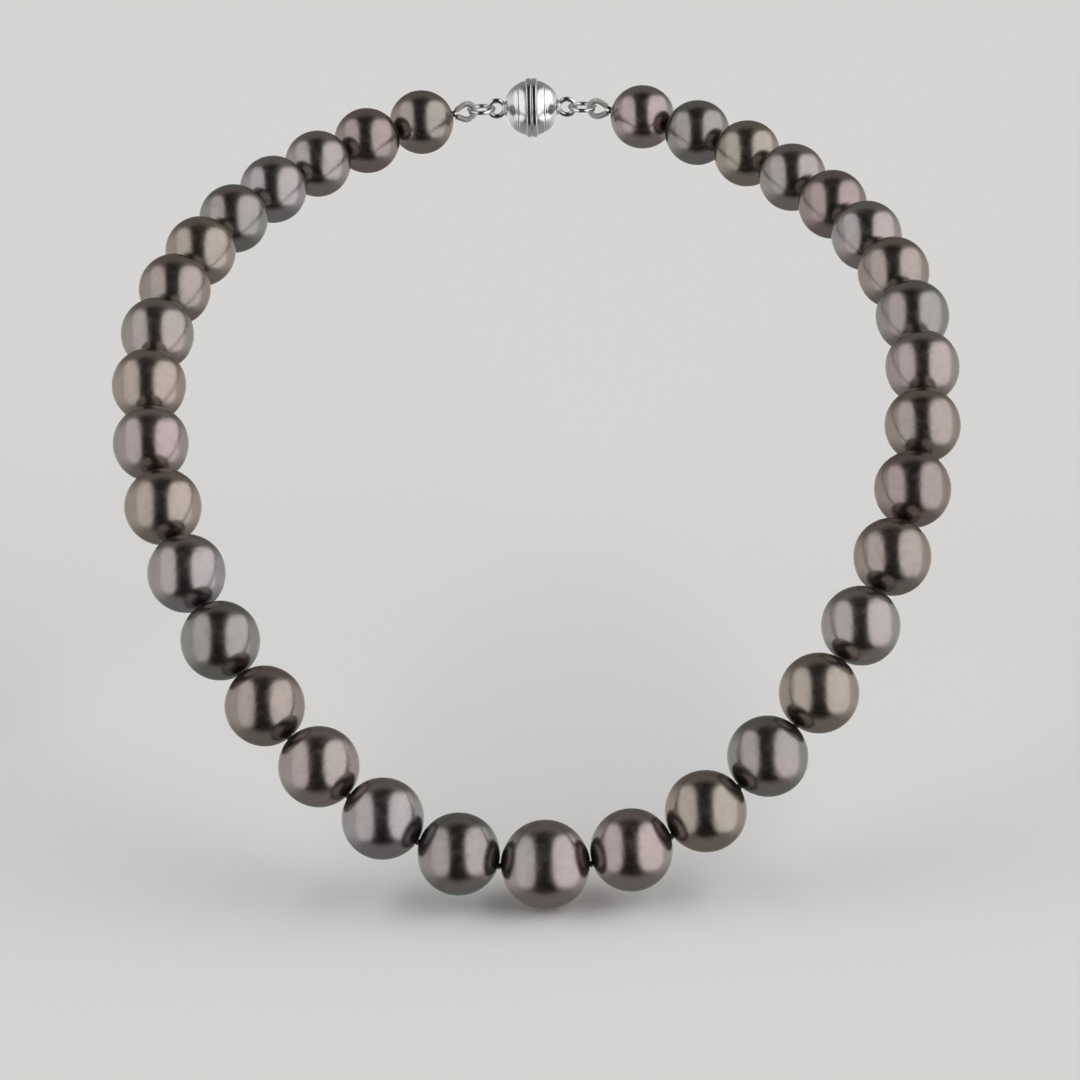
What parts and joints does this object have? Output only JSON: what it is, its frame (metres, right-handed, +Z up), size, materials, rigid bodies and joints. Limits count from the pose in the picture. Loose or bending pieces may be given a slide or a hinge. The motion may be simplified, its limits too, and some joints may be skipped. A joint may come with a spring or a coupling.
{
  "type": "pearl necklace",
  "caption": "Graduated dark pearl necklace, knotted on silk, closed at the nape by a magnetic ball clasp.",
  "frame": {"origin": "centre of the front pearl, the lowest and foremost one, where the strand rests on its wearer", "axes": "+Z up, -Y the way that the wearer faces, +X right as seen from in front"},
  "size_m": [0.1278, 0.1421, 0.0883],
  "materials": {
    "nacre_pewter": "high nacre lustre",
    "nacre_aubergine": "high nacre lustre",
    "nacre_olive": "high nacre lustre",
    "nacre_sea_grey": "high nacre lustre",
    "nacre_bronze": "high nacre lustre",
    "nacre_rose": "high nacre lustre",
    "nacre_lilac": "high nacre lustre",
    "silk": "twisted silk",
    "bullion_wire": "fine coiled silver wire",
    "silver": "rhodium-plated silver, polished",
    "magnet_plate": "nickel-plated magnet"
  },
  "bodies": {
    "pearl_front": {"pearl_front": "nacre_pewter", "silk_thread": "silk"},
    "pearl_right_01": {"pearl_right_01": "nacre_rose"},
    "pearl_right_02": {"pearl_right_02": "nacre_olive"},
    "pearl_right_03": {"pearl_right_03": "nacre_sea_grey"},
    "pearl_right_04": {"pearl_right_04": "nacre_olive"},
    "pearl_right_05": {"pearl_right_05": "nacre_lilac"},
    "pearl_right_06": {"pearl_right_06": "nacre_bronze"},
    "pearl_right_07": {"pearl_right_07": "nacre_aubergine"},
    "pearl_right_08": {"pearl_right_08": "nacre_bronze"},
    "pearl_right_09": {"pearl_right_09": "nacre_rose"},
    "pearl_right_10": {"pearl_right_10": "nacre_sea_grey"},
    "pearl_right_11": {"pearl_right_11": "nacre_bronze"},
    "pearl_right_12": {"pearl_right_12": "nacre_lilac"},
    "pearl_right_13": {"pearl_right_13": "nacre_aubergine"},
    "pearl_right_14": {"pearl_right_14": "nacre_pewter"},
    "pearl_right_15": {"pearl_right_15": "nacre_olive"},
    "pearl_right_16": {"pearl_right_16": "nacre_sea_grey"},
    "pearl_right_17": {"pearl_right_17": "nacre_rose", "bullion_right": "bullion_wire"},
    "jump_ring_right": {"jump_ring_right": "silver"},
    "clasp_right": {"clasp_shell_right": "silver", "magnet_right": "magnet_plate"},
    "pearl_left_01": {"pearl_left_01": "nacre_sea_grey"},
    "pearl_left_02": {"pearl_left_02": "nacre_lilac"},
    "pearl_left_03": {"pearl_left_03": "nacre_rose"},
    "pearl_left_04": {"pearl_left_04": "nacre_bronze"},
    "pearl_left_05": {"pearl_left_05": "nacre_sea_grey"},
    "pearl_left_06": {"pearl_left_06": "nacre_lilac"},
    "pearl_left_07": {"pearl_left_07": "nacre_olive"},
    "pearl_left_08": {"pearl_left_08": "nacre_rose"},
    "pearl_left_09": {"pearl_left_09": "nacre_olive"},
    "pearl_left_10": {"pearl_left_10": "nacre_rose"},
    "pearl_left_11": {"pearl_left_11": "nacre_bronze"},
    "pearl_left_12": {"pearl_left_12": "nacre_olive"},
    "pearl_left_13": {"pearl_left_13": "nacre_sea_grey"},
    "pearl_left_14": {"pearl_left_14": "nacre_lilac"},
    "pearl_left_15": {"pearl_left_15": "nacre_pewter"},
    "pearl_left_16": {"pearl_left_16": "nacre_aubergine"},
    "pearl_left_17": {"pearl_left_17": "nacre_bronze", "bullion_left": "bullion_wire"},
    "jump_ring_left": {"jump_ring_left": "silver"},
    "clasp_left": {"clasp_shell_left": "silver", "magnet_left": "magnet_plate"}
  },
  "joints": [
    {"name": "front_bend_right", "type": "hinge", "parent": "pearl_front", "child": "pearl_right_01", "pos_m": [0.00665, 0, 0], "axis": [0, 0, -1], "range_deg": [0, 10.19], "deforming": ["silk_thread"]},
    {"name": "knot_right_02", "type": "hinge", "parent": "pearl_right_01", "child": "pearl_right_02", "pos_m": [0.0184, 0.00211, 0.00317], "axis": [0, 0, -1], "range_deg": [0, 11.18]},
    {"name": "knot_right_03", "type": "hinge", "parent": "pearl_right_02", "child": "pearl_right_03", "pos_m": [0.02843, 0.00604, 0.00905], "axis": [0, 0, -1], "range_deg": [0, 8.93]},
    {"name": "knot_right_04", "type": "hinge", "parent": "pearl_right_03", "child": "pearl_right_04", "pos_m": [0.03687, 0.01097, 0.01634], "axis": [0, 0, -1], "range_deg": [0, 8.64]},
    {"name": "knot_right_05", "type": "hinge", "parent": "pearl_right_04", "child": "pearl_right_05", "pos_m": [0.04402, 0.01675, 0.02419], "axis": [0, 0, -1], "range_deg": [0, 10.67]},
    {"name": "knot_right_06", "type": "hinge", "parent": "pearl_right_05", "child": "pearl_right_06", "pos_m": [0.04979, 0.02354, 0.03223], "axis": [0, 0, -1], "range_deg": [0, 11.54]},
    {"name": "side_bend_right", "type": "hinge", "parent": "pearl_right_06", "child": "pearl_right_07", "pos_m": [0.05412, 0.0314, 0.04003], "axis": [0, 0, -1], "range_deg": [0, 11.05], "deforming": ["silk_thread"]},
    {"name": "knot_right_08", "type": "hinge", "parent": "pearl_right_07", "child": "pearl_right_08", "pos_m": [0.05697, 0.04027, 0.04725], "axis": [0, 0, -1], "range_deg": [0, 9.82]},
    {"name": "knot_right_09", "type": "hinge", "parent": "pearl_right_08", "child": "pearl_right_09", "pos_m": [0.05833, 0.04997, 0.05359], "axis": [0, 0, -1], "range_deg": [0, 8.58]},
    {"name": "knot_right_10", "type": "hinge", "parent": "pearl_right_09", "child": "pearl_right_10", "pos_m": [0.05822, 0.06025, 0.05889], "axis": [0, 0, -1], "range_deg": [0, 7.68]},
    {"name": "knot_right_11", "type": "hinge", "parent": "pearl_right_10", "child": "pearl_right_11", "pos_m": [0.05668, 0.07077, 0.06312], "axis": [0, 0, -1], "range_deg": [0, 7.16]},
    {"name": "knot_right_12", "type": "hinge", "parent": "pearl_right_11", "child": "pearl_right_12", "pos_m": [0.05379, 0.08123, 0.06638], "axis": [0, 0, -1], "range_deg": [0, 6.93]},
    {"name": "nape_bend_right", "type": "hinge", "parent": "pearl_right_12", "child": "pearl_right_13", "pos_m": [0.04963, 0.09134, 0.06889], "axis": [0, 0, -1], "range_deg": [0, 6.87], "deforming": ["silk_thread"]},
    {"name": "knot_right_14", "type": "hinge", "parent": "pearl_right_13", "child": "pearl_right_14", "pos_m": [0.0443, 0.10086, 0.0709], "axis": [0, 0, -1], "range_deg": [0, 6.89]},
    {"name": "knot_right_15", "type": "hinge", "parent": "pearl_right_14", "child": "pearl_right_15", "pos_m": [0.03792, 0.1096, 0.0727], "axis": [0, 0, -1], "range_deg": [0, 6.81]},
    {"name": "knot_right_16", "type": "hinge", "parent": "pearl_right_15", "child": "pearl_right_16", "pos_m": [0.03061, 0.11745, 0.07431], "axis": [0, 0, -1], "range_deg": [0, 6.7]},
    {"name": "knot_right_17", "type": "hinge", "parent": "pearl_right_16", "child": "pearl_right_17", "pos_m": [0.0225, 0.12433, 0.07572], "axis": [0, 0, -1], "range_deg": [0, 12.77]},
    {"name": "ring_right_swing", "type": "hinge", "parent": "pearl_right_17", "child": "jump_ring_right", "pos_m": [0.00933, 0.13037, 0.07696], "axis": [0, 0, -1], "range_deg": [0, 4.71]},
    {"name": "clasp_right_swing", "type": "hinge", "parent": "jump_ring_right", "child": "clasp_right", "pos_m": [0.007, 0.13086, 0.07706], "axis": [0, 0, -1], "range_deg": [0, 12.06]},
    {"name": "front_bend_left", "type": "hinge", "parent": "pearl_front", "child": "pearl_left_01", "pos_m": [-0.00665, 0, 0], "axis": [0, 0, 1], "range_deg": [0, 10.19], "deforming": ["silk_thread"]},
    {"name": "knot_left_02", "type": "hinge", "parent": "pearl_left_01", "child": "pearl_left_02", "pos_m": [-0.0184, 0.00211, 0.00317], "axis": [0, 0, 1], "range_deg": [0, 11.18]},
    {"name": "knot_left_03", "type": "hinge", "parent": "pearl_left_02", "child": "pearl_left_03", "pos_m": [-0.02843, 0.00604, 0.00905], "axis": [0, 0, 1], "range_deg": [0, 8.93]},
    {"name": "knot_left_04", "type": "hinge", "parent": "pearl_left_03", "child": "pearl_left_04", "pos_m": [-0.03687, 0.01097, 0.01634], "axis": [0, 0, 1], "range_deg": [0, 8.64]},
    {"name": "knot_left_05", "type": "hinge", "parent": "pearl_left_04", "child": "pearl_left_05", "pos_m": [-0.04402, 0.01675, 0.02419], "axis": [0, 0, 1], "range_deg": [0, 10.67]},
    {"name": "knot_left_06", "type": "hinge", "parent": "pearl_left_05", "child": "pearl_left_06", "pos_m": [-0.04979, 0.02354, 0.03223], "axis": [0, 0, 1], "range_deg": [0, 11.54]},
    {"name": "side_bend_left", "type": "hinge", "parent": "pearl_left_06", "child": "pearl_left_07", "pos_m": [-0.05412, 0.0314, 0.04003], "axis": [0, 0, 1], "range_deg": [0, 11.05], "deforming": ["silk_thread"]},
    {"name": "knot_left_08", "type": "hinge", "parent": "pearl_left_07", "child": "pearl_left_08", "pos_m": [-0.05697, 0.04027, 0.04725], "axis": [0, 0, 1], "range_deg": [0, 9.82]},
    {"name": "knot_left_09", "type": "hinge", "parent": "pearl_left_08", "child": "pearl_left_09", "pos_m": [-0.05833, 0.04997, 0.05359], "axis": [0, 0, 1], "range_deg": [0, 8.58]},
    {"name": "knot_left_10", "type": "hinge", "parent": "pearl_left_09", "child": "pearl_left_10", "pos_m": [-0.05822, 0.06025, 0.05889], "axis": [0, 0, 1], "range_deg": [0, 7.68]},
    {"name": "knot_left_11", "type": "hinge", "parent": "pearl_left_10", "child": "pearl_left_11", "pos_m": [-0.05668, 0.07077, 0.06312], "axis": [0, 0, 1], "range_deg": [0, 7.16]},
    {"name": "knot_left_12", "type": "hinge", "parent": "pearl_left_11", "child": "pearl_left_12", "pos_m": [-0.05379, 0.08123, 0.06638], "axis": [0, 0, 1], "range_deg": [0, 6.93]},
    {"name": "nape_bend_left", "type": "hinge", "parent": "pearl_left_12", "child": "pearl_left_13", "pos_m": [-0.04963, 0.09134, 0.06889], "axis": [0, 0, 1], "range_deg": [0, 6.87], "deforming": ["silk_thread"]},
    {"name": "knot_left_14", "type": "hinge", "parent": "pearl_left_13", "child": "pearl_left_14", "pos_m": [-0.0443, 0.10086, 0.0709], "axis": [0, 0, 1], "range_deg": [0, 6.89]},
    {"name": "knot_left_15", "type": "hinge", "parent": "pearl_left_14", "child": "pearl_left_15", "pos_m": [-0.03792, 0.1096, 0.0727], "axis": [0, 0, 1], "range_deg": [0, 6.81]},
    {"name": "knot_left_16", "type": "hinge", "parent": "pearl_left_15", "child": "pearl_left_16", "pos_m": [-0.03061, 0.11745, 0.07431], "axis": [0, 0, 1], "range_deg": [0, 6.7]},
    {"name": "knot_left_17", "type": "hinge", "parent": "pearl_left_16", "child": "pearl_left_17", "pos_m": [-0.0225, 0.12433, 0.07572], "axis": [0, 0, 1], "range_deg": [0, 12.77]},
    {"name": "ring_left_swing", "type": "hinge", "parent": "pearl_left_17", "child": "jump_ring_left", "pos_m": [-0.00933, 0.13037, 0.07696], "axis": [0, 0, 1], "range_deg": [0, 4.71]},
    {"name": "clasp_left_swing", "type": "hinge", "parent": "jump_ring_left", "child": "clasp_left", "pos_m": [-0.007, 0.13086, 0.07706], "axis": [0, 0, 1], "range_deg": [0, 12.06]}
  ],
  "couplings": [
    {"joint": "knot_right_02", "follows": "front_bend_right", "ratio": 1.0967},
    {"joint": "knot_right_03", "follows": "front_bend_right", "ratio": 0.87644},
    {"joint": "knot_right_04", "follows": "front_bend_right", "ratio": 0.84809},
    {"joint": "knot_right_05", "follows": "front_bend_right", "ratio": 1.0471},
    {"joint": "knot_right_06", "follows": "front_bend_right", "ratio": 1.1321},
    {"joint": "knot_right_08", "follows": "side_bend_right", "ratio": 0.88871},
    {"joint": "knot_right_09", "follows": "side_bend_right", "ratio": 0.77608},
    {"joint": "knot_right_10", "follows": "side_bend_right", "ratio": 0.69465},
    {"joint": "knot_right_11", "follows": "side_bend_right", "ratio": 0.64809},
    {"joint": "knot_right_12", "follows": "side_bend_right", "ratio": 0.62747},
    {"joint": "knot_right_14", "follows": "nape_bend_right", "ratio": 1.0022},
    {"joint": "knot_right_15", "follows": "nape_bend_right", "ratio": 0.99111},
    {"joint": "knot_right_16", "follows": "nape_bend_right", "ratio": 0.9752},
    {"joint": "knot_right_17", "follows": "nape_bend_right", "ratio": 1.8578},
    {"joint": "ring_right_swing", "follows": "nape_bend_right", "ratio": 0.6847},
    {"joint": "clasp_right_swing", "follows": "nape_bend_right", "ratio": 1.7544},
    {"joint": "knot_left_02", "follows": "front_bend_left", "ratio": 1.0967},
    {"joint": "knot_left_03", "follows": "front_bend_left", "ratio": 0.87644},
    {"joint": "knot_left_04", "follows": "front_bend_left", "ratio": 0.84809},
    {"joint": "knot_left_05", "follows": "front_bend_left", "ratio": 1.0471},
    {"joint": "knot_left_06", "follows": "front_bend_left", "ratio": 1.1321},
    {"joint": "knot_left_08", "follows": "side_bend_left", "ratio": 0.88871},
    {"joint": "knot_left_09", "follows": "side_bend_left", "ratio": 0.77608},
    {"joint": "knot_left_10", "follows": "side_bend_left", "ratio": 0.69465},
    {"joint": "knot_left_11", "follows": "side_bend_left", "ratio": 0.64809},
    {"joint": "knot_left_12", "follows": "side_bend_left", "ratio": 0.62747},
    {"joint": "knot_left_14", "follows": "nape_bend_left", "ratio": 1.0022},
    {"joint": "knot_left_15", "follows": "nape_bend_left", "ratio": 0.99111},
    {"joint": "knot_left_16", "follows": "nape_bend_left", "ratio": 0.9752},
    {"joint": "knot_left_17", "follows": "nape_bend_left", "ratio": 1.8578},
    {"joint": "ring_left_swing", "follows": "nape_bend_left", "ratio": 0.6847},
    {"joint": "clasp_left_swing", "follows": "nape_bend_left", "ratio": 1.7544}
  ]
}
